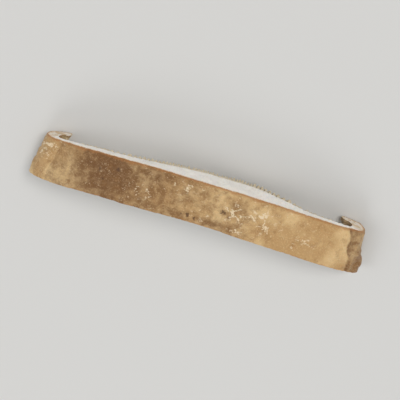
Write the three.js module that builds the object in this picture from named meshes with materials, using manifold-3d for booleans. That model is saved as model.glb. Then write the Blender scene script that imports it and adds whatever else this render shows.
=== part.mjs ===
// One slice of a shiitake cap, cut to one side of the stem. It rests on the turned-in edge of the cap at
// its two ends, gills down. Millimetres, +Z up, +X along the slice, -Y towards the outer cut; the origin is
// on the resting plane under the middle of the slice.

import * as THREE from "three";
import { mergeVertices } from "three/addons/utils/BufferGeometryUtils.js";
import Module from "manifold-3d";

// The cap, a body of revolution about Z before it is cut.
const capRadius = 37.8; // at the widest turn of the edge
const domeHeight = 8.2; // crown above the widest turn
const edgeHeight = 3.1; // widest turn above the resting plane
const crownFlatness = 2.6; // exponent along the radius: higher is flatter on top
const crownRoundness = 1.8; // exponent along the height: higher is squarer at the edge

// The edge, which turns down, in and up again.
const rollReach = 2.5; // from the widest turn in to the foot
const footWidth = 1.3; // flat strip that the edge rests on
const lipNose = 0.8; // lip past the foot
const lipRise = 2.1; // thickness of the lip
const pocketDepth = 0.8; // hollow between the lip and the flesh above it
const edgeWall = 2.6; // skin to pocket

// The flesh and the gills under it.
const centreFlesh = 6.6; // flesh at the cap's axis
const edgeFlesh = 2.8; // flesh at the widest turn
const fleshFullness = 3; // exponent along the radius: higher stays thick further out
const gillDepth = 3.4; // gills at the cap's axis
const gillMargin = 4.0; // from the widest turn in to where the gills run out
const gillFullness = 8; // exponent along the radius: higher stays deep further out
const gillStart = 4.0; // radius where the gills begin, at the stem
const gillCount = 100; // all around the cap
const gillShare = 0.45; // share of the way from one gill to the next that is gill
const gillRoot = 0.4; // how far a gill is rooted in the flesh

// The cap is thickest a little to one side, and thins towards both ends of the slice.
const thickestAt = -10.0; // along X
const shortReach = 16.0; // from there to where it is thinnest, towards -X
const longReach = 32.0; // the same towards +X
const thinFlesh = 0.4; // share of the flesh left at the ends
const thinGills = 0.6; // share of the gill depth left at the ends

// The cut.
const sliceThickness = 9.5;
const cutOffset = 9.6; // from the cap's axis to the middle of the slice
const sliceBow = 2.6; // how far the ends lag behind the middle, towards the cap's axis
const knifeOverrun = 2.0; // how far the cut reaches past the cap, so that it goes right through

// Fineness of the faceted surfaces.
const turnSteps = 108; // around the cap
const skinSteps = 14; // crown to widest turn
const rollSteps = 4; // each quarter of the roll
const underSteps = 12; // edge to axis, underneath
const knifeSteps = 24; // along the slice
const weldDistance = 1e-4; // points closer than this become one

const wasm = await Module();
wasm.setup();

function skinHeight(radius) {
  const share = Math.min(radius / capRadius, 1);
  return edgeHeight + domeHeight * (1 - share ** crownFlatness) ** (1 / crownRoundness);
}

function fleshThickness(radius) {
  return edgeFlesh + (centreFlesh - edgeFlesh) * (1 - (radius / capRadius) ** fleshFullness);
}

function gillThickness(radius) {
  return gillDepth * (1 - (radius / (capRadius - gillMargin)) ** gillFullness);
}

// Share of a thickness left at a place along the slice, from 1 where the cap is thickest down to shareAtEnds.
function thinned(x, shareAtEnds) {
  const reach = x < thickestAt ? shortReach : longReach;
  return 1 - (1 - shareAtEnds) * THREE.MathUtils.smoothstep(Math.abs(x - thickestAt), 0, reach);
}

function fleshDepth(radius, x) {
  return fleshThickness(radius) * thinned(x, thinFlesh);
}

function gillEdgeDepth(radius, x) {
  return fleshDepth(radius, x) + gillThickness(radius) * thinned(x, thinGills);
}

function gillRootDepth(radius, x) {
  return fleshDepth(radius, x) - gillRoot;
}

// Skin from the widest turn to the crown, stepped by angle so that the steep edge gets its share of points.
function skinProfile() {
  const points = [];
  for (let step = skinSteps; step >= 0; step -= 1) {
    const angle = (Math.PI / 2) * (step / skinSteps);
    const radius = capRadius * Math.sin(angle) ** (2 / crownFlatness);
    points.push(new THREE.Vector2(radius, skinHeight(radius)));
  }
  return points;
}

// The pocket behind the lip, the rounded lip, the flat foot and the outside of the roll.
function rollProfile() {
  const footOuter = capRadius - rollReach;
  const footInner = footOuter - footWidth;
  const roll = new THREE.Path();
  roll.moveTo(capRadius - edgeWall, lipRise + pocketDepth / 2);
  roll.lineTo(footInner, lipRise);
  roll.absellipse(footInner, lipRise / 2, lipNose, lipRise / 2, Math.PI / 2, (3 * Math.PI) / 2, false);
  roll.lineTo(footOuter, 0);
  roll.absellipse(footOuter, edgeHeight, rollReach, edgeHeight, -Math.PI / 2, 0, false);
  return roll.getPoints(rollSteps).slice(0, -1);
}

// Evenly spaced radii from the axis out, at no height yet.
function underRadii(outerRadius) {
  const points = [];
  for (let step = 0; step <= underSteps; step += 1) {
    points.push(new THREE.Vector2((outerRadius * step) / underSteps, 0));
  }
  return points;
}

// Turns a profile about Z. depthOf gives, for each of the profile's points, a rule for its depth below the
// skin, or nothing where the point keeps its own height.
function turned(profile, depthOf) {
  const geometry = new THREE.LatheGeometry(profile, turnSteps);
  geometry.rotateX(Math.PI / 2);
  const place = geometry.getAttribute("position");
  for (let index = 0; index < place.count; index += 1) {
    const depth = depthOf(index % profile.length);
    if (!depth) continue;
    const radius = Math.hypot(place.getX(index), place.getY(index));
    place.setZ(index, skinHeight(radius) - depth(radius, place.getX(index)));
  }
  return geometry;
}

function solidOf(geometry) {
  geometry.deleteAttribute("normal");
  geometry.deleteAttribute("uv");
  const merged = mergeVertices(geometry, weldDistance);
  const index = Uint32Array.from(merged.index.array);
  const kept = [];
  for (let corner = 0; corner < index.length; corner += 3) {
    const [a, b, c] = index.subarray(corner, corner + 3);
    if (a !== b && b !== c && c !== a) kept.push(a, b, c);
  }
  return new wasm.Manifold(new wasm.Mesh({
    numProp: 3,
    vertProperties: Float32Array.from(merged.getAttribute("position").array),
    triVerts: Uint32Array.from(kept),
  }));
}

function makeFlesh() {
  const under = underRadii(capRadius - edgeWall - pocketDepth / 2);
  const profile = [...under, ...rollProfile(), ...skinProfile()];
  return solidOf(turned(profile, (point) => (point < under.length ? fleshDepth : null)));
}

// The layer that the gills fill, rooted a little way into the flesh.
function makeGillLayer() {
  const edges = underRadii(capRadius - gillMargin);
  const roots = [...edges].reverse();
  const depthOf = (point) => (point < edges.length ? gillEdgeDepth : gillRootDepth);
  return solidOf(turned([...edges, ...roots], depthOf));
}

// Thin upright wedges that fan out from the cap's axis.
function makeGillFan() {
  const pitch = (2 * Math.PI) / gillCount;
  const halfWidth = (pitch * gillShare) / 2;
  const corner = (radius, angle) => new THREE.Vector2(radius * Math.cos(angle), radius * Math.sin(angle));
  const wedges = [];
  for (let gill = 0; gill < gillCount; gill += 1) {
    const middle = gill * pitch;
    wedges.push(new THREE.Shape([
      corner(gillStart, middle - halfWidth),
      corner(capRadius, middle - halfWidth),
      corner(capRadius, middle + halfWidth),
      corner(gillStart, middle + halfWidth),
    ]));
  }
  return solidOf(new THREE.ExtrudeGeometry(wedges, { depth: edgeHeight + domeHeight, bevelEnabled: false }));
}

// The space between the two cuts, which bow outwards in the middle.
function makeCut() {
  const reach = capRadius + knifeOverrun;
  const middleLine = (x) => -cutOffset + sliceBow * (x / capRadius) ** 2;
  const outer = [];
  const inner = [];
  for (let step = 0; step <= knifeSteps; step += 1) {
    const x = reach * ((2 * step) / knifeSteps - 1);
    outer.push(new THREE.Vector2(x, middleLine(x) - sliceThickness / 2));
    inner.unshift(new THREE.Vector2(x, middleLine(x) + sliceThickness / 2));
  }
  const depth = edgeHeight + domeHeight + 2 * knifeOverrun;
  const outline = new THREE.Shape([...outer, ...inner]);
  const band = new THREE.ExtrudeGeometry(outline, { depth, bevelEnabled: false });
  band.translate(0, 0, -knifeOverrun);
  return solidOf(band);
}

function makeSlice() {
  const gills = makeGillLayer().intersect(makeGillFan());
  const { vertProperties, triVerts } = makeFlesh().add(gills).intersect(makeCut()).getMesh();
  const geometry = new THREE.BufferGeometry();
  geometry.setAttribute("position", new THREE.BufferAttribute(vertProperties, 3));
  geometry.setIndex(new THREE.BufferAttribute(triVerts, 1));
  geometry.computeVertexNormals();
  geometry.computeBoundingBox();
  const middle = geometry.boundingBox.getCenter(new THREE.Vector3());
  geometry.translate(-middle.x, -middle.y, 0);
  return geometry;
}

const skinColour = new THREE.MeshStandardMaterial({ color: 0xc59b63, roughness: 0.72, metalness: 0 });

const slice = new THREE.Mesh(makeSlice(), skinColour);
slice.name = "mushroom_slice";

const part = new THREE.Group();
part.add(slice);

export default part;
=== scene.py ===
"""One slice of a shiitake cap: scaly tan skin, white cut flesh, fine gills and a turned-in edge.

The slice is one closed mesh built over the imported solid. Lengths are millimetres in the cap's own frame,
whose Z axis is the cap's axis; the finished mesh is then fitted to the solid's box in metres.
"""

import math

import bpy
import numpy as np
from mathutils import Matrix, Vector


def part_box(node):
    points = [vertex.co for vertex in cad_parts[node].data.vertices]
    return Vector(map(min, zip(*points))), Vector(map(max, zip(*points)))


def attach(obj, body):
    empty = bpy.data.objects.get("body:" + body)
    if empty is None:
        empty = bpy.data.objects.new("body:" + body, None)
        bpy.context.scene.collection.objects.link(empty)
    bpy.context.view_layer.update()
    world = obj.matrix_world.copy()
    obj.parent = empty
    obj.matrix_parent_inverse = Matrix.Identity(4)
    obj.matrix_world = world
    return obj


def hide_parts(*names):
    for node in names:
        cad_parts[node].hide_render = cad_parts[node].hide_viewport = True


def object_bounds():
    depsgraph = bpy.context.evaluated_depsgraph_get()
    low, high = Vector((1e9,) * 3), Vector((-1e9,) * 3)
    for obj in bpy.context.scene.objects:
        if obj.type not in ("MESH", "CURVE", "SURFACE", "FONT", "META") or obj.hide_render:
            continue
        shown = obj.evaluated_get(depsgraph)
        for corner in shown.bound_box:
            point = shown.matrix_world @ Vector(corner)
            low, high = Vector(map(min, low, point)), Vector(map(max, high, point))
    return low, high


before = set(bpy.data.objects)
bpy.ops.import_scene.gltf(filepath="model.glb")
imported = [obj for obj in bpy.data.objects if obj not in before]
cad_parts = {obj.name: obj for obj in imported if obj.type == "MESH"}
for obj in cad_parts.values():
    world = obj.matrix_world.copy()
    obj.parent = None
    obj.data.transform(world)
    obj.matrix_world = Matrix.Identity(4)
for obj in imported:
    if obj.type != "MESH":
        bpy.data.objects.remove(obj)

NODE = "mushroom_slice"
METRES = 0.001

# The cap, as the solid has it.
CAP_RADIUS = 37.8
DOME_HEIGHT = 8.2
EDGE_HEIGHT = 3.1
CROWN_FLATNESS = 2.6
CROWN_ROUNDNESS = 1.8
ROLL_REACH = 2.5
FOOT_WIDTH = 1.3
LIP_NOSE = 0.8
LIP_RISE = 2.1
POCKET_RADIUS = 34.8  # where the underside turns into the pocket behind the lip
CENTRE_FLESH = 6.6
EDGE_FLESH = 2.8
FLESH_FULLNESS = 3
GILL_DEPTH = 3.4
GILL_MARGIN = 4.0
GILL_FULLNESS = 8
THICKEST_AT = -10.0
SHORT_REACH = 16.0
LONG_REACH = 32.0
THIN_FLESH = 0.4
THIN_GILLS = 0.6

# The cut, as the solid has it.
SLICE_THICKNESS = 9.5
CUT_OFFSET = 9.6
SLICE_BOW = 2.6

# The gills. Each rank starts further out and fills the gaps of the ranks before it.
GILLS_AROUND = 44  # in one rank, all around the cap
GILL_RANKS = (  # offset as a share of the pitch, starting radius, height as a share of the gill depth
    (0.0, 4.0, 1.0),
    (0.5, 7.5, 1.0),
    (0.25, 11.0, 0.95),
    (0.75, 11.5, 0.95),
    (0.125, 21.5, 0.62),
    (0.375, 22.5, 0.62),
    (0.625, 22.0, 0.62),
    (0.875, 23.0, 0.62),
)
BLADE_WIDTH = 0.34
BLADE_SOFTNESS = 0.11
GROOVE_FLOOR = 0.14  # share of the gill depth that even a groove has

# Where the skin is marked: place along the slice and across it, reach both ways, strength.
PALE_PATCHES = (
    (-8.0, 0.0, 2.2, 1.8, 1.1),
    (-13.6, 0.0, 2.5, 2.1, 1.1),
    (-9.2, 3.5, 1.0, 0.9, 0.7),
    (-20.6, 3.6, 1.4, 0.9, 0.7),
    (3.8, -2.4, 2.6, 1.3, 0.6),
    (-1.4, 2.2, 2.2, 1.4, 0.35),
    (-23.0, 1.4, 3.4, 2.0, 0.35),
    (12.0, 1.2, 2.6, 2.0, 0.45),
    (35.0, -1.0, 2.4, 3.4, 0.8),
)
BROWN_PATCHES = (
    (21.0, -0.6, 5.0, 4.4, 0.80),
    (10.5, -3.2, 2.6, 1.2, 0.4),
    (-4.0, 3.8, 9.0, 1.6, 0.40),
    (-9.8, -1.2, 4.4, 3.2, 0.36),
    (-17.5, -2.6, 2.6, 1.4, 0.25),
)
SPECKS = (
    (1.6, 3.3, 0.45, 0.55, 1.0),
    (-0.1, 3.6, 0.35, 0.40, 0.9),
    (2.9, 3.5, 0.30, 0.35, 0.7),
    (-5.4, 0.3, 1.05, 0.65, 0.8),
    (-6.9, 1.3, 0.45, 0.35, 0.6),
    (18.2, -1.6, 0.55, 0.60, 0.9),
    (20.9, 1.4, 0.50, 0.40, 0.9),
    (22.1, -0.4, 0.35, 0.45, 0.8),
    (-20.4, -1.2, 0.30, 0.30, 0.5),
    (7.2, -3.4, 0.35, 0.25, 0.6),
)

ROLL_LENGTH = 12.0  # skin from above the pocket round to the lip's nose
INNER_EDGE_FADE = 0.45  # added to the distance from the inner cut, where the skin's rim is less brown
RIM_RADII = (34.2, 33.4)  # where the look of the skin changes, just inside the turn: at -X, at +X
POCKET_LEAVE = (0.75, -0.9)  # how the underside's curve sets off into the pocket
POCKET_ARRIVE = (1.5, 0.25)  # and how it comes out onto the lip

# The mesh.
TURN_POINTS = 40  # of the roll's profile, from the skin to the widest turn
FOOT_POINTS = 24  # from there down to the foot
POCKET_POINTS = 24  # of the pocket's curve
NOSE_POINTS = 12  # of half the lip's nose
MIDDLE_STEPS = 520  # along the slice, between the two rolls
ROLL_STEPS = 32  # round each roll
ACROSS_STEPS = 64  # from cut to cut
FLESH_ROWS = 10  # down a cut face, skin to gills
GILL_ROWS = 4  # down a cut face, through the gills
LIP_SKIN_FROM = 0.12  # share of the roll from which the underside is skin
SHARP_ANGLE = 48.0  # degrees between faces from which an edge is sharp
OUTER_CUT_SEED = 61  # seeds keep one noise apart from another
INNER_CUT_SEED = 71


def smoothstep(value, low, high):
    share = np.clip((value - low) / (high - low), 0.0, 1.0)
    return share * share * (3.0 - 2.0 * share)


# ---- repeatable noise ----

MASK_32 = 0xFFFFFFFF
MIXER = 1274126177
AXIS_MIXERS = (374761393, 668265263, 1103515245)
OCTAVE_SCALE = 2.03
OCTAVE_SHIFT = 17.3


def hashed(cell, seed):
    """A repeatable number from 0 to 1 for each row of whole numbers."""
    mixed = np.full(cell.shape[0], seed * MIXER, dtype=np.int64)
    for column, axis_mixer in zip(cell.T, AXIS_MIXERS):
        mixed = (mixed + column.astype(np.int64) * axis_mixer) & MASK_32
        mixed = ((mixed ^ (mixed >> 13)) * MIXER) & MASK_32
    return (mixed ^ (mixed >> 16)) / float(MASK_32)


def noise(*places, seed=0):
    """Smooth noise from -1 to 1 over two or three coordinates, each an array of one shape."""
    shape = places[0].shape
    points = np.stack([place.ravel() for place in places], axis=1)
    base = np.floor(points)
    share = points - base
    fade = share ** 3 * (share * (share * 6.0 - 15.0) + 10.0)
    total = np.zeros(len(points))
    dimensions = points.shape[1]
    for corner in range(2 ** dimensions):
        step = np.array([(corner >> axis) & 1 for axis in range(dimensions)])
        weight = np.prod(np.where(step, fade, 1.0 - fade), axis=1)
        total += weight * hashed(base + step, seed)
    return (2.0 * total - 1.0).reshape(shape)


def fractal(*places, seed=0, octaves=3):
    """Noise with finer and weaker noise on it."""
    total = 0.0
    for octave in range(octaves):
        scaled = [place * OCTAVE_SCALE ** octave + OCTAVE_SHIFT * octave for place in places]
        total = total + noise(*scaled, seed=seed + octave) * 0.5 ** octave
    return total


# ---- the cap's form ----


def skin_height(radius):
    share = np.minimum(radius / CAP_RADIUS, 1.0)
    return EDGE_HEIGHT + DOME_HEIGHT * (1.0 - share ** CROWN_FLATNESS) ** (1.0 / CROWN_ROUNDNESS)


def flesh_thickness(radius):
    return EDGE_FLESH + (CENTRE_FLESH - EDGE_FLESH) * (1.0 - (radius / CAP_RADIUS) ** FLESH_FULLNESS)


def gill_thickness(radius):
    share = radius / (CAP_RADIUS - GILL_MARGIN)
    return GILL_DEPTH * np.maximum(1.0 - share ** GILL_FULLNESS, 0.0)


def thinned(x, share_at_ends):
    """Share of a thickness left at a place along the slice."""
    reach = np.where(x < THICKEST_AT, SHORT_REACH, LONG_REACH)
    return 1.0 - (1.0 - share_at_ends) * smoothstep(np.abs(x - THICKEST_AT) / reach, 0.0, 1.0)


def across_place(x, share):
    """Y at a share of the way from the outer cut to the inner one."""
    return -CUT_OFFSET + SLICE_BOW * (x / CAP_RADIUS) ** 2 + (share - 0.5) * SLICE_THICKNESS


def solve_x(radius, share):
    """X where the cut line at this share meets a circle round the cap's axis, found in six tries."""
    x = np.full(np.broadcast(radius, share).shape, CAP_RADIUS)
    for _ in range(6):
        x = np.sqrt(np.maximum(radius ** 2 - across_place(x, share) ** 2, 0.0))
    return x


def ellipse_arc(centre, reach, rise, start, end, steps):
    angle = np.radians(np.linspace(start, end, steps))
    return np.stack([centre[0] + reach * np.cos(angle), centre[1] + rise * np.sin(angle)], axis=1)


def outer_roll():
    """Radius and height from the skin above the pocket, round the turn and the foot, to the lip's nose."""
    foot_outer = CAP_RADIUS - ROLL_REACH
    foot_inner = foot_outer - FOOT_WIDTH
    crowded = np.linspace(0.0, 1.0, TURN_POINTS) ** 0.4
    radius = POCKET_RADIUS + (CAP_RADIUS - POCKET_RADIUS) * crowded
    skin = np.stack([radius, skin_height(radius)], axis=1)
    under = ellipse_arc((foot_outer, EDGE_HEIGHT), ROLL_REACH, EDGE_HEIGHT, 0.0, -90.0, FOOT_POINTS)
    nose = ellipse_arc((foot_inner, LIP_RISE / 2), LIP_NOSE, LIP_RISE / 2, -90.0, -180.0, NOSE_POINTS)
    return np.concatenate([skin[:-1], under, nose])


def inner_roll():
    """Radius and height from the underside, round the pocket and over the lip to its nose."""
    foot_inner = CAP_RADIUS - ROLL_REACH - FOOT_WIDTH
    flesh = flesh_thickness(POCKET_RADIUS) * THIN_FLESH
    start = np.array([POCKET_RADIUS, skin_height(POCKET_RADIUS) - flesh])
    end = np.array([foot_inner, LIP_RISE])
    leave = start + POCKET_LEAVE
    arrive = end + POCKET_ARRIVE
    share = np.linspace(0.0, 1.0, POCKET_POINTS)[:, None]
    pocket = (
        start * (1 - share) ** 3
        + leave * 3 * share * (1 - share) ** 2
        + arrive * 3 * share ** 2 * (1 - share)
        + end * share ** 3
    )
    nose = ellipse_arc((foot_inner, LIP_RISE / 2), LIP_NOSE, LIP_RISE / 2, 90.0, 180.0, NOSE_POINTS)
    return np.concatenate([pocket, nose[1:]])


def roll_line(profile, share, side):
    """The roll's profile as the cut at each share shows it: evenly spaced points of x, y and z."""
    x = solve_x(profile[:, 0][:, None], share[None, :])
    height = np.broadcast_to(profile[:, 1][:, None], x.shape)
    even = np.linspace(0.0, 1.0, ROLL_STEPS + 1)
    placed = np.empty((ROLL_STEPS + 1, len(share), 3))
    for column in range(len(share)):
        steps = np.hypot(np.diff(x[:, column]), np.diff(height[:, column]))
        travelled = np.concatenate([[0.0], np.cumsum(steps)]) / steps.sum()
        placed[:, column, 0] = np.interp(even, travelled, x[:, column])
        placed[:, column, 2] = np.interp(even, travelled, height[:, column])
    placed[..., 1] = across_place(placed[..., 0], share[None, :])
    placed[..., 0] *= side
    return placed


def middle_line(share):
    """X and y of the points between the two rolls, for each share."""
    end = solve_x(np.array([[POCKET_RADIUS]]), share[None, :])
    x = np.linspace(-1.0, 1.0, MIDDLE_STEPS + 1)[:, None] * end
    return x, across_place(x, share[None, :])


def gill_blades(x, y):
    """How far a gill fills each place, from 0 in a groove to 1 on a gill."""
    radius = np.hypot(x, y)
    sway = 0.16 * noise(x / 3.1, y / 3.1, seed=31) + 0.09 * noise(x / 1.1, y / 1.1, seed=32)
    bearing = np.arctan2(y, x) + sway / np.maximum(radius, 1.0)
    pitch = 2.0 * math.pi / GILLS_AROUND
    filled = np.zeros(x.shape)
    for rank, (offset, start, height) in enumerate(GILL_RANKS):
        number = np.round(bearing / pitch - offset)
        gap = np.abs(bearing - (number + offset) * pitch) * radius
        names = np.stack([number.ravel(), np.full(number.size, rank)], axis=1)
        own = hashed(names, 33).reshape(x.shape)
        begins = smoothstep(radius, start + 3.0 * own, start + 3.0 * own + 1.6)
        width = BLADE_WIDTH * (0.8 + 0.5 * own) / 2.0
        blade = 1.0 - smoothstep(gap, width - BLADE_SOFTNESS, width + BLADE_SOFTNESS)
        ragged = 0.5 + 0.5 * noise(radius * 0.7, number * 3.7 + rank, seed=34)
        reach = height * (0.78 + 0.22 * own) * (0.84 + 0.16 * ragged)
        filled = np.maximum(filled, blade * begins * reach)
    return filled


# ---- fine relief ----


def patches(x, y, marks):
    """How strongly each place is marked, from a list of soft-edged patches."""
    total = np.zeros(x.shape)
    for middle_x, middle_y, reach_x, reach_y, strength in marks:
        distance = ((x - middle_x) / reach_x) ** 2 + ((y + CUT_OFFSET - middle_y) / reach_y) ** 2
        total = np.maximum(total, strength * np.exp(-distance))
    return total


def flake_field(x, y):
    """Pale torn scales and threads on the skin: how much each place has, from 0 to 1."""
    warp_x = x + 0.6 * noise(x / 1.4, y / 1.4, seed=41) + 0.3 * noise(x / 0.5, y / 0.5, seed=42)
    warp_y = y + 0.6 * noise(x / 1.4, y / 1.4, seed=43) + 0.3 * noise(x / 0.5, y / 0.5, seed=44)
    crowd = patches(x, y, PALE_PATCHES)
    torn = fractal(warp_x / 0.95, warp_y / 0.60, seed=45, octaves=3)
    scale = smoothstep(torn + 0.60 * crowd, 0.60, 0.80)
    threads = 1.0 - smoothstep(np.abs(noise(warp_x / 1.5, warp_y / 1.0, seed=47)), 0.02, 0.12)
    stray = smoothstep(noise(x / 2.7, y / 2.2, seed=48), 0.15, 0.6)
    return np.maximum(scale * (0.20 + 0.80 * crowd), threads * (0.85 * crowd + 0.12 * stray))


def past_rim(x, y, roll):
    """How far past the wavy line where the skin turns over each place is, in millimetres."""
    rim = np.where(x < 0.0, *RIM_RADII)
    along = np.hypot(x, y) - rim
    turned = POCKET_RADIUS - rim + ROLL_LENGTH * roll
    return np.where(roll > 0.0, turned, along) + 0.45 * noise(y / 2.6, np.sign(x) * 3.0 + y / 9.0, seed=85)


def brown_and_shade_field(x, y, roll):
    """How brown the skin is: more towards +X, which is partly the skin's own browning and partly painted
    shade, in a few patches, and over the turned edge at -X, with a line of painted shade in its crease.
    """
    # Darker towards +X: partly the skin's own browning, partly painted shade.
    brown_and_shade_drift = smoothstep(x + 5.0 * noise(x / 8.0, y / 6.0, seed=81), -26.0, 24.0)
    down = past_rim(x, y, roll)
    rim = smoothstep(down, 0.0, 0.5)
    paler = np.maximum(0.85 * rim, 0.35 * smoothstep(x, 23.0, 30.0))
    far_end = np.where(x > 0.0, 1.0 - paler, 1.0)
    # A dark line in the crease where the skin meets the turned edge: painted shade.
    crease = 0.35 * np.exp(-(((down - 0.35) / 0.35) ** 2))
    # The turned edge's own colour at -X, with the painted shade of its crease added.
    margin = np.where(x < 0.0, 0.62 * rim + crease, 0.0)
    pale_end = 0.25 * smoothstep(-x, 16.0, 28.0)
    ragged = 0.7 + 0.5 * noise(x / 1.8, y / 1.5, seed=82)
    marks = patches(x, y, BROWN_PATCHES) * ragged
    return np.clip(np.maximum(0.66 * brown_and_shade_drift * far_end - pale_end, margin) + marks, -0.25, 1.0)


def skin_relief(x, y, roll, flake):
    """Height of the skin's own relief, in millimetres."""
    radius = np.hypot(x, y)
    bearing = np.arctan2(y, x)
    swell = 0.22 * noise(x / 11.0, y / 9.0, seed=51) + 0.12 * noise(x / 4.2, y / 4.2, seed=52)
    wrinkle = 0.045 * fractal(x / 1.3, y / 1.0, seed=53, octaves=3)
    fibre = 0.018 * noise(radius / 1.8, bearing * 90.0, seed=54)
    pits = 0.10 * smoothstep(noise(x / 0.8, y / 0.8, seed=55), 0.55, 0.85)
    thick_end = smoothstep(-x, 26.0, 33.0)
    down = past_rim(x, y, roll)
    margin = smoothstep(down, 0.2, 1.6) * (0.35 + 0.65 * thick_end)
    lumps = 0.55 * noise(down / 2.7, y / 2.4, seed=56) + 0.18 * noise(down / 1.1, y / 1.0, seed=57)
    crease = 0.20 * thick_end * np.exp(-(((down - 0.15) / 0.35) ** 2))
    edge = margin * lumps - crease
    return swell * (1.0 - 0.6 * margin) + wrinkle + fibre - pits + edge + 0.13 * flake


def cut_relief(x, z, seed):
    """How far a cut face stands out from its knife line, in millimetres."""
    sweep = 0.10 * noise(x / 13.0, z / 6.0, seed=seed) + 0.05 * noise(x / 3.0, z / 4.0, seed=seed + 1)
    fibre = 0.030 * noise(x / 0.45, z / 1.6, seed=seed + 2)
    grain = 0.022 * noise(x / 0.3, z / 0.34, seed=seed + 3)
    torn = 0.06 * smoothstep(noise(x / 0.9, z / 0.7, seed=seed + 4), 0.45, 0.8)
    return sweep + fibre + grain - torn


# ---- the mesh ----


def grid_normals(places):
    """Which way a sheet faces at each of its places."""
    along = np.gradient(places, axis=0)
    across = np.gradient(places, axis=1)
    normal = np.cross(along, across)
    return normal / np.maximum(np.linalg.norm(normal, axis=2, keepdims=True), 1e-9)


def make_sheets():
    """The skin sheet and the underside sheet, as places and masks, on one layout of rows and columns."""
    share = np.linspace(0.0, 1.0, ACROSS_STEPS + 1)
    x, y = middle_line(share)
    radius = np.hypot(x, y)
    top = np.stack([x, y, skin_height(radius)], axis=2)
    blades = gill_blades(x, y)
    flesh = flesh_thickness(radius) * thinned(x, THIN_FLESH)
    gills = gill_thickness(radius) * thinned(x, THIN_GILLS)
    bottom = top.copy()
    bottom[..., 2] -= flesh + gills * (GROOVE_FLOOR + (1.0 - GROOVE_FLOOR) * blades)
    sheets = []
    for middle, profile in ((top, outer_roll()), (bottom, inner_roll())):
        left = roll_line(profile, share, -1)[1:][::-1]
        right = roll_line(profile, share, 1)[1:]
        sheets.append(np.concatenate([left, middle, right]))
    pad = ((ROLL_STEPS, ROLL_STEPS), (0, 0))
    round_roll = np.linspace(1.0 / ROLL_STEPS, 1.0, ROLL_STEPS)
    rolled = np.concatenate([round_roll[::-1], np.zeros(MIDDLE_STEPS + 1), round_roll])
    masks = {
        "flesh": np.pad(flesh, pad, mode="edge"),
        "blade": np.pad(blades * smoothstep(gills, 0.0, 0.6), pad),
        "roll": np.broadcast_to(rolled[:, None], sheets[0].shape[:2]),
        "share": np.broadcast_to(share[None, :], sheets[0].shape[:2]),
    }
    return sheets[0], sheets[1], masks


def nudge_cuts(places, share):
    """Moves places across the slice so that both cut faces get their relief."""
    outer = cut_relief(places[..., 0], places[..., 2], OUTER_CUT_SEED)
    inner = cut_relief(places[..., 0], places[..., 2], INNER_CUT_SEED)
    places[..., 1] += inner * share - outer * (1.0 - share)


def make_cut_face(top_line, bottom_line, flesh):
    """Places down a cut face, from the skin's cut edge to the underside's, rows along the slice."""
    depth = np.maximum(np.linalg.norm(top_line - bottom_line, axis=1), 1e-6)
    split = np.clip(flesh / depth, 0.0, 0.9)
    down = np.linspace(0.0, 1.0, FLESH_ROWS + 1)[None, :] * split[:, None]
    through = split[:, None] + np.linspace(0.0, 1.0, GILL_ROWS + 1)[None, 1:] * (1.0 - split[:, None])
    share = np.concatenate([down, through], axis=1)[..., None]
    return top_line[:, None] * (1.0 - share) + bottom_line[:, None] * share


class MeshMaker:
    """Collects sheets of places as shared vertices, faces and vertex values."""

    def __init__(self):
        self.places = []
        self.values = []
        self.faces = []
        self.kinds = []
        self.count = 0

    def add(self, places, values):
        """Adds a sheet's places and gives back their vertex numbers, in the same rows and columns."""
        flat = places.reshape(-1, 3)
        numbers = np.arange(self.count, self.count + len(flat)).reshape(places.shape[:-1])
        self.places.append(flat)
        self.values.append({name: value.ravel() for name, value in values.items()})
        self.count += len(flat)
        return numbers

    def quads(self, numbers, kinds, flip):
        """Adds the faces between neighbouring vertices of a sheet. Kinds are material numbers."""
        corners = [numbers[:-1, :-1], numbers[1:, :-1], numbers[1:, 1:], numbers[:-1, 1:]]
        if flip:
            corners.reverse()
        self.faces.append(np.stack([corner.ravel() for corner in corners], axis=1))
        self.kinds.append(np.broadcast_to(kinds, numbers[:-1, :-1].shape).ravel())

    def finish(self, name, materials):
        """Makes the mesh. A face drops corners that meet, and is left out if it keeps fewer than three."""
        places = np.concatenate(self.places)
        faces = np.concatenate(self.faces)
        kinds = np.concatenate(self.kinds)
        kept = []
        for face in faces.tolist():
            corners = [corner for at, corner in enumerate(face) if corner != face[at - 1]]
            kept.append(corners if len(set(corners)) > 2 else None)
        mesh = bpy.data.meshes.new(name)
        mesh.from_pydata(places.tolist(), [], [face for face in kept if face])
        mesh.polygons.foreach_set(
            "material_index", [int(kind) for kind, face in zip(kinds, kept) if face]
        )
        for material in materials:
            mesh.materials.append(material)
        for key in self.values[0]:
            attribute = mesh.attributes.new(key, "FLOAT", "POINT")
            attribute.data.foreach_set("value", np.concatenate([group[key] for group in self.values]))
        mesh.update()
        return mesh


SKIN, FLESH, GILLS = range(3)


def skin_values(top, masks):
    """What the materials read on the skin."""
    x, y, share, roll = top[..., 0], top[..., 1], masks["share"], masks["roll"]
    none = np.zeros(x.shape)
    near_outer = share * SLICE_THICKNESS
    near_inner = (1.0 - share) * SLICE_THICKNESS + INNER_EDGE_FADE
    sway_x, sway_y = (0.25 * noise(x * 2.0, y * 2.0, seed=seed) for seed in (83, 84))
    return {
        "depth": none,
        "cut_distance": np.minimum(near_outer, near_inner),
        "flake": flake_field(x, y) * (1.0 - smoothstep(roll, 0.3, 0.5)),
        "roll": roll,
        "blade": none,
        "gill_zone": none,
        "brown": brown_and_shade_field(x, y, roll),
        "speck": patches(x + sway_x, y + sway_y, SPECKS),
    }


def gill_zone(depth, flesh, roll, margin):
    """How much of each place belongs to the gills, from its depth under the skin and the flesh's."""
    return smoothstep(depth - flesh, -margin, 0.5) * (1.0 - smoothstep(roll, 0.0, 0.1))


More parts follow.
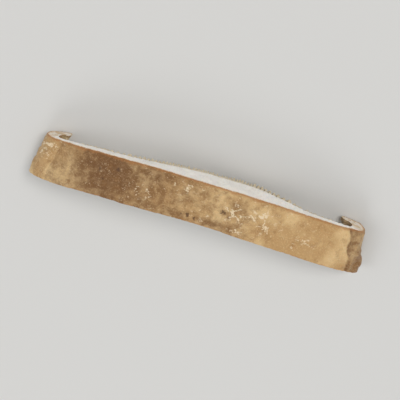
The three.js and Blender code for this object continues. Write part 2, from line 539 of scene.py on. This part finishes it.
def underside_values(skin, depth, masks):
    """What the materials read on the underside."""
    none = np.zeros(depth.shape)
    return skin | {
        "depth": depth,
        "flake": none,
        "blade": masks["blade"],
        "gill_zone": gill_zone(depth, masks["flesh"], masks["roll"], 0.0),
        "speck": none,
    }


def add_relief(top, bottom, masks, flake):
    """Moves both sheets to their finished places, and lets them meet along the lip's nose."""
    x, y, roll = top[..., 0], top[..., 1], masks["roll"]
    top += grid_normals(top) * skin_relief(x, y, roll, flake)[..., None]
    unevenness = np.where(bottom[..., 0] < 0.0, 0.30, 0.12) * roll
    bottom[..., 2] += unevenness * noise(bottom[..., 0] / 1.3, bottom[..., 1] / 1.6, seed=58)
    top[[0, -1]] = (top[[0, -1]] + bottom[[0, -1]]) / 2.0
    for places in (top, bottom):
        nudge_cuts(places, masks["share"])
        places[..., 2] = np.maximum(places[..., 2], 0.0)


def add_cut_face(maker, column, seed, facing, sheets, sheet_numbers, masks):
    """Closes the cut at one column of both sheets, sharing their vertices. Facing is its sign along Y."""
    top_line, bottom_line = (sheet[:, column] for sheet in sheets)
    flesh = masks["flesh"][:, column, None]
    roll = masks["roll"][:, column, None]
    face = make_cut_face(top_line, bottom_line, flesh[:, 0])
    inner = (slice(1, -1), slice(1, -1))
    inside = face[inner]
    flat_y = across_place(inside[..., 0], masks["share"][0, column])
    inside[..., 1] = flat_y + facing * cut_relief(inside[..., 0], inside[..., 2], seed)
    depth = np.linalg.norm(face - face[:, :1], axis=2)
    none = np.zeros(inside.shape[:2])
    numbers = np.empty(face.shape[:2], dtype=int)
    numbers[:, 0], numbers[:, -1] = (rows[:, column] for rows in sheet_numbers)
    numbers[[0, -1]] = numbers[[0, -1], :1]
    numbers[inner] = maker.add(inside, {
        "depth": depth[inner],
        "cut_distance": none,
        "flake": none,
        "roll": np.broadcast_to(roll[1:-1], none.shape),
        "blade": none,
        "gill_zone": gill_zone(depth, flesh, roll, 0.1)[inner],
        "brown": none,
        "speck": none,
    })
    maker.quads(numbers, FLESH, flip=facing < 0)


def make_slice(materials):
    top, bottom, masks = make_sheets()
    skin = skin_values(top, masks)
    add_relief(top, bottom, masks, skin["flake"])
    underside = underside_values(skin, np.linalg.norm(top - bottom, axis=2), masks)

    maker = MeshMaker()
    top_numbers = maker.add(top, skin)
    between = slice(1, -1)  # the sheets share their first and last rows
    under_numbers = top_numbers.copy()
    under_numbers[between] = maker.add(
        bottom[between], {name: value[between] for name, value in underside.items()}
    )
    maker.quads(top_numbers, SKIN, flip=False)
    on_lip = masks["roll"][:-1, :-1] > LIP_SKIN_FROM
    maker.quads(under_numbers, np.where(on_lip, SKIN, GILLS), flip=True)
    for column, seed, facing in ((0, OUTER_CUT_SEED, -1), (-1, INNER_CUT_SEED, 1)):
        add_cut_face(maker, column, seed, facing, (top, bottom), (top_numbers, under_numbers), masks)
    return maker.finish("shiitake_slice", materials)


def fit_to_solid(mesh):
    """Scales and moves the millimetre mesh onto the solid's box, in metres."""
    low, high = (np.array(corner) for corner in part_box(NODE))
    places = np.empty(len(mesh.vertices) * 3)
    mesh.vertices.foreach_get("co", places)
    places = places.reshape(-1, 3)
    own_low, own_high = places.min(axis=0), places.max(axis=0)
    fitted = low + (places - own_low) * (high - low) / (own_high - own_low)
    mesh.vertices.foreach_set("co", fitted.ravel())
    mesh.update()


# ---- materials ----


class Nodes:
    """A short way to write a node material. A value may be a number, a colour or another node's output."""

    def __init__(self, name):
        self.material = bpy.data.materials.new(name)
        self.material.use_nodes = True
        self.tree = self.material.node_tree
        self.tree.nodes.clear()
        self.shader = self.add("ShaderNodeBsdfPrincipled")
        output = self.add("ShaderNodeOutputMaterial")
        self.link(self.shader.outputs["BSDF"], output.inputs["Surface"])

    def add(self, kind, **settings):
        node = self.tree.nodes.new(kind)
        for name, value in settings.items():
            setattr(node, name, value)
        return node

    def link(self, source, target):
        self.tree.links.new(source, target)

    def set(self, socket, value):
        if isinstance(value, bpy.types.NodeSocket):
            self.link(value, socket)
        else:
            socket.default_value = value

    def mask(self, name):
        return self.add("ShaderNodeAttribute", attribute_name=name).outputs["Fac"]

    def place(self, scale=(1.0, 1.0, 1.0)):
        """Object coordinates, in millimetres, stretched by scale."""
        coordinates = self.add("ShaderNodeTexCoord").outputs["Object"]
        stretch = self.add("ShaderNodeVectorMath", operation="MULTIPLY")
        self.link(coordinates, stretch.inputs[0])
        stretch.inputs[1].default_value = [value / METRES for value in scale]
        return stretch.outputs["Vector"]

    def noise(self, scale, detail=3.0, roughness=0.55, stretch=(1.0, 1.0, 1.0)):
        """Noise whose features are about 1 / scale millimetres wide."""
        node = self.add("ShaderNodeTexNoise")
        self.link(self.place(stretch), node.inputs["Vector"])
        node.inputs["Scale"].default_value = scale
        node.inputs["Detail"].default_value = detail
        node.inputs["Roughness"].default_value = roughness
        return node.outputs["Fac"]

    def math(self, operation, first, second):
        node = self.add("ShaderNodeMath", operation=operation)
        self.set(node.inputs[0], first)
        self.set(node.inputs[1], second)
        return node.outputs[0]

    def spread(self, value, low, high, start=0.0, end=1.0):
        """Goes smoothly from start to end as the value goes from low to high."""
        node = self.add("ShaderNodeMapRange", interpolation_type="SMOOTHSTEP")
        numbers = {"Value": value, "From Min": low, "From Max": high, "To Min": start, "To Max": end}
        for name, number in numbers.items():
            self.set(node.inputs[name], number)
        return node.outputs["Result"]

    def mix(self, share, first, second):
        node = self.add("ShaderNodeMix", data_type="RGBA")
        self.set(node.inputs["Factor"], share)
        colours = [socket for socket in node.inputs if socket.type == "RGBA"]
        for socket, colour in zip(colours, (first, second)):
            self.set(socket, colour)
        return next(socket for socket in node.outputs if socket.type == "RGBA")

    def bump(self, height, distance, strength, under=None):
        """Relief of a height over a distance in millimetres, on top of the relief under it."""
        node = self.add("ShaderNodeBump")
        self.set(node.inputs["Height"], height)
        node.inputs["Distance"].default_value = distance * METRES
        node.inputs["Strength"].default_value = strength
        if under:
            self.link(under, node.inputs["Normal"])
        return node.outputs["Normal"]


def rgb(red, green, blue):
    """A colour given as 0 to 255 display values, as linear light."""
    def linear(value):
        share = value / 255.0
        return share / 12.92 if share <= 0.04045 else ((share + 0.055) / 1.055) ** 2.4
    return (linear(red), linear(green), linear(blue), 1.0)


def skin_material():
    nodes = Nodes("shiitake_skin")
    shader = nodes.shader
    broad = nodes.noise(0.16, detail=2.0)
    mottle = nodes.noise(0.55, detail=4.0, roughness=0.62)
    grain = nodes.noise(3.2, detail=4.0, roughness=0.6)
    fine = nodes.noise(9.0, detail=2.0)

    colour = nodes.mix(nodes.spread(broad, 0.38, 0.62), rgb(184, 147, 97), rgb(212, 180, 130))
    # The brown mask carries the skin's own browning and some painted shade: towards +X, and in the crease
    # at the turned edge at -X.
    brown = nodes.math("ADD", nodes.mask("brown"), nodes.spread(mottle, 0.3, 0.7, -0.22, 0.22))
    colour = nodes.mix(nodes.spread(brown, 0.0, 1.0), colour, rgb(112, 75, 37))
    colour = nodes.mix(nodes.spread(mottle, 0.52, 0.70, 0.0, 0.35), colour, rgb(150, 110, 66))
    # How strongly the pale grain specks show: weaker where the skin is brown.
    pale_grain_share = nodes.spread(nodes.mask("brown"), 0.2, 0.7, 0.40, 0.24)
    colour = nodes.mix(nodes.spread(grain, 0.50, 0.68, 0.0, pale_grain_share), colour, rgb(222, 193, 144))
    colour = nodes.mix(nodes.spread(fine, 0.54, 0.68, 0.0, 0.35), colour, rgb(140, 100, 58))

    flake = nodes.mask("flake")
    ragged = nodes.math("ADD", flake, nodes.spread(grain, 0.35, 0.65, -0.25, 0.20))
    colour = nodes.mix(nodes.spread(ragged, 0.15, 0.75, 0.0, 0.85), colour, rgb(230, 211, 178))

    edge = nodes.math("ADD", nodes.mask("cut_distance"), nodes.spread(mottle, 0.3, 0.7, -0.30, 0.35))
    colour = nodes.mix(nodes.spread(edge, 0.10, 0.65, 0.65, 0.0), colour, rgb(160, 106, 54))

    speck = nodes.math("ADD", nodes.mask("speck"), nodes.spread(grain, 0.3, 0.7, -0.25, 0.25))
    colour = nodes.mix(nodes.spread(speck, 0.30, 0.75, 0.0, 0.85), colour, rgb(84, 54, 28))

    roll = nodes.spread(nodes.mask("roll"), 0.30, 0.62)
    lip = nodes.mix(nodes.spread(mottle, 0.42, 0.62), rgb(150, 124, 86), rgb(196, 172, 132))
    lip = nodes.mix(nodes.spread(grain, 0.55, 0.68, 0.0, 0.8), lip, rgb(228, 214, 190))
    colour = nodes.mix(roll, colour, lip)
    nodes.link(colour, shader.inputs["Base Color"])

    nodes.link(nodes.spread(mottle, 0.3, 0.7, 0.58, 0.80), shader.inputs["Roughness"])
    shader.inputs["Subsurface Weight"].default_value = 0.12
    shader.inputs["Subsurface Radius"].default_value = (1.0, 0.55, 0.3)
    shader.inputs["Subsurface Scale"].default_value = 1.2 * METRES
    shader.inputs["Sheen Weight"].default_value = 0.15
    shader.inputs["Sheen Roughness"].default_value = 0.5
    shader.inputs["Specular IOR Level"].default_value = 0.38
    fine_normal = nodes.bump(fine, 0.10, 0.5)
    nodes.link(nodes.bump(grain, 0.22, 0.6, fine_normal), shader.inputs["Normal"])
    return nodes.material


def flesh_material():
    nodes = Nodes("shiitake_flesh")
    shader = nodes.shader
    cloud = nodes.noise(0.35, detail=3.0)
    patchy = nodes.noise(0.9, detail=3.0)
    fibre = nodes.noise(1.0, detail=4.0, roughness=0.65, stretch=(3.6, 3.6, 0.9))
    fine = nodes.noise(7.0, detail=3.0)
    depth = nodes.mask("depth")

    colour = nodes.mix(nodes.spread(cloud, 0.35, 0.65), rgb(236, 232, 226), rgb(245, 241, 234))
    colour = nodes.mix(nodes.spread(fibre, 0.52, 0.72, 0.0, 0.5), colour, rgb(214, 206, 194))
    zone = nodes.mask("gill_zone")
    gill = nodes.mix(nodes.spread(fibre, 0.35, 0.65), rgb(190, 166, 126), rgb(218, 200, 164))
    colour = nodes.mix(nodes.math("MULTIPLY", zone, 0.85), colour, gill)
    turned = nodes.math(
        "MULTIPLY",
        nodes.spread(nodes.mask("roll"), 0.05, 0.40),
        nodes.spread(patchy, 0.42, 0.58, 0.30, 0.85),
    )
    colour = nodes.mix(turned, colour, rgb(194, 164, 120))
    under_skin = nodes.math("ADD", depth, nodes.spread(fine, 0.3, 0.7, -0.14, 0.14))
    colour = nodes.mix(nodes.spread(under_skin, 0.10, 0.85, 0.55, 0.0), colour, rgb(214, 180, 132))
    colour = nodes.mix(nodes.spread(under_skin, 0.08, 0.34, 0.9, 0.0), colour, rgb(160, 108, 56))
    nodes.link(colour, shader.inputs["Base Color"])

    shader.inputs["Roughness"].default_value = 0.62
    shader.inputs["Subsurface Weight"].default_value = 0.35
    shader.inputs["Subsurface Radius"].default_value = (1.0, 0.8, 0.6)
    shader.inputs["Subsurface Scale"].default_value = 1.6 * METRES
    shader.inputs["Specular IOR Level"].default_value = 0.35
    fine_normal = nodes.bump(fine, 0.06, 0.5)
    nodes.link(nodes.bump(fibre, 0.20, 0.55, fine_normal), shader.inputs["Normal"])
    return nodes.material


def gill_material():
    nodes = Nodes("shiitake_gills")
    shader = nodes.shader
    mottle = nodes.noise(0.6, detail=3.0)
    fine = nodes.noise(6.0, detail=3.0)
    blade = nodes.mask("blade")
    # Darker in the grooves between the gills than on the blades: painted shade in the recesses.
    colour = nodes.mix(nodes.spread(blade, 0.1, 0.7), rgb(170, 140, 98), rgb(224, 208, 176))
    colour = nodes.mix(nodes.spread(mottle, 0.45, 0.70, 0.0, 0.5), colour, rgb(200, 174, 134))
    colour = nodes.mix(nodes.spread(fine, 0.56, 0.72, 0.0, 0.35), colour, rgb(176, 140, 94))
    nodes.link(colour, shader.inputs["Base Color"])
    shader.inputs["Roughness"].default_value = 0.7
    shader.inputs["Subsurface Weight"].default_value = 0.3
    shader.inputs["Subsurface Radius"].default_value = (1.0, 0.8, 0.55)
    shader.inputs["Subsurface Scale"].default_value = 1.0 * METRES
    nodes.link(nodes.bump(fine, 0.08, 0.5), shader.inputs["Normal"])
    return nodes.material


def floor_material():
    nodes = Nodes("studio_floor")
    nodes.shader.inputs["Base Color"].default_value = FLOOR_COLOUR
    nodes.shader.inputs["Roughness"].default_value = 0.6
    return nodes.material


# ---- the studio ----

FLOOR_RADIUS = 4.0  # metres
FLOOR_SIDES = 64
FLOOR_DROP = 0.0002  # metres
FLOOR_COLOUR = (0.62, 0.62, 0.61, 1.0)
CAMERA_TILT = 20.0  # degrees off straight down, towards the outer cut
CAMERA_TURN = 17.0  # degrees that the slice falls towards the right of the view
CAMERA_LENS = 85.0  # millimetres
VIEW_FILL = 0.88  # share of the frame's width that the slice's length takes
LAMPS = (  # name, direction from the slice, strength, colour
    ("key", (-0.25, -0.30, 0.55), 1.45, (1.0, 0.98, 0.95)),
    ("fill", (0.40, 0.10, 0.45), 0.6, (0.97, 0.98, 1.0)),
    ("back", (0.0, 0.45, 0.35), 0.6, (1.0, 1.0, 1.0)),
)
LAMP_ANGLE = 30.0  # how wide each lamp looks from the slice, in degrees, which softens its shadow
ROOM_COLOUR = (1.0, 0.995, 0.985, 1.0)
WALL_TOP, CEILING_EDGE = 0.15, 0.75  # where the walls' light starts and ends its change, as upward share
WALL_LEVEL = 0.68  # brightness of the room at the horizon
CEILING_LEVEL = 0.34  # and overhead


def make_floor():
    mesh = bpy.data.meshes.new("studio_floor")
    angles = np.linspace(0.0, 2.0 * math.pi, FLOOR_SIDES, endpoint=False)
    rim = [
        (FLOOR_RADIUS * math.cos(angle), FLOOR_RADIUS * math.sin(angle), -FLOOR_DROP)
        for angle in angles
    ]
    mesh.from_pydata(rim, [], [tuple(range(FLOOR_SIDES))])
    mesh.materials.append(floor_material())
    floor = bpy.data.objects.new("studio_floor", mesh)
    bpy.context.collection.objects.link(floor)


def make_light(name, direction, strength, colour):
    """A soft lamp far away, shining from a direction towards the slice."""
    data = bpy.data.lights.new(name, "SUN")
    data.angle = math.radians(LAMP_ANGLE)
    data.energy = strength
    data.color = colour
    lamp = bpy.data.objects.new(name, data)
    lamp.location = direction
    lamp.rotation_mode = "QUATERNION"
    lamp.rotation_quaternion = (-Vector(direction)).to_track_quat("-Z", "Y")
    bpy.context.collection.objects.link(lamp)


def make_world():
    """A plain room, brighter at the horizon than overhead."""
    world = bpy.data.worlds.new("studio")
    world.use_nodes = True
    tree = world.node_tree
    direction = tree.nodes.new("ShaderNodeTexCoord")
    parts = tree.nodes.new("ShaderNodeSeparateXYZ")
    level = tree.nodes.new("ShaderNodeMapRange")
    level.inputs["From Min"].default_value = WALL_TOP
    level.inputs["From Max"].default_value = CEILING_EDGE
    level.inputs["To Min"].default_value = WALL_LEVEL
    level.inputs["To Max"].default_value = CEILING_LEVEL
    tree.links.new(direction.outputs["Generated"], parts.inputs["Vector"])
    tree.links.new(parts.outputs["Z"], level.inputs["Value"])
    tree.links.new(level.outputs["Result"], tree.nodes["Background"].inputs["Strength"])
    tree.nodes["Background"].inputs["Color"].default_value = ROOM_COLOUR
    bpy.context.scene.world = world
    bpy.context.scene.view_settings.view_transform = "Standard"


def make_camera(low, high):
    """A camera that looks down on the middle of a box, its length filling the view."""
    centre = (low + high) / 2
    tilt = math.radians(CAMERA_TILT)
    turn = math.radians(CAMERA_TURN)
    back = Vector((0.0, -math.sin(tilt), math.cos(tilt)))
    right = Vector((-1.0, 0.0, 0.0))
    up = back.cross(right)
    turned_right = right * math.cos(turn) + up * math.sin(turn)
    turned_up = back.cross(turned_right)
    data = bpy.data.cameras.new("camera")
    data.lens = CAMERA_LENS
    distance = (high.x - low.x) / VIEW_FILL * data.lens / data.sensor_width
    camera = bpy.data.objects.new("camera", data)
    axes = Matrix((turned_right, turned_up, back)).transposed()
    camera.matrix_world = Matrix.Translation(centre + back * distance) @ axes.to_4x4()
    data.clip_start = distance * 0.01
    data.clip_end = distance * 100
    bpy.context.collection.objects.link(camera)
    bpy.context.scene.camera = camera


cad_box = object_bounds()
slice_mesh = make_slice([skin_material(), flesh_material(), gill_material()])
fit_to_solid(slice_mesh)
slice_mesh.polygons.foreach_set("use_smooth", [True] * len(slice_mesh.polygons))
slice_mesh.set_sharp_from_angle(angle=math.radians(SHARP_ANGLE))
slice_piece = bpy.data.objects.new("shiitake_slice", slice_mesh)
bpy.context.collection.objects.link(slice_piece)
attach(slice_piece, "root")
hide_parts(NODE)

make_floor()
make_world()
for lamp in LAMPS:
    make_light(*lamp)
make_camera(*(Vector(corner) for corner in cad_box))
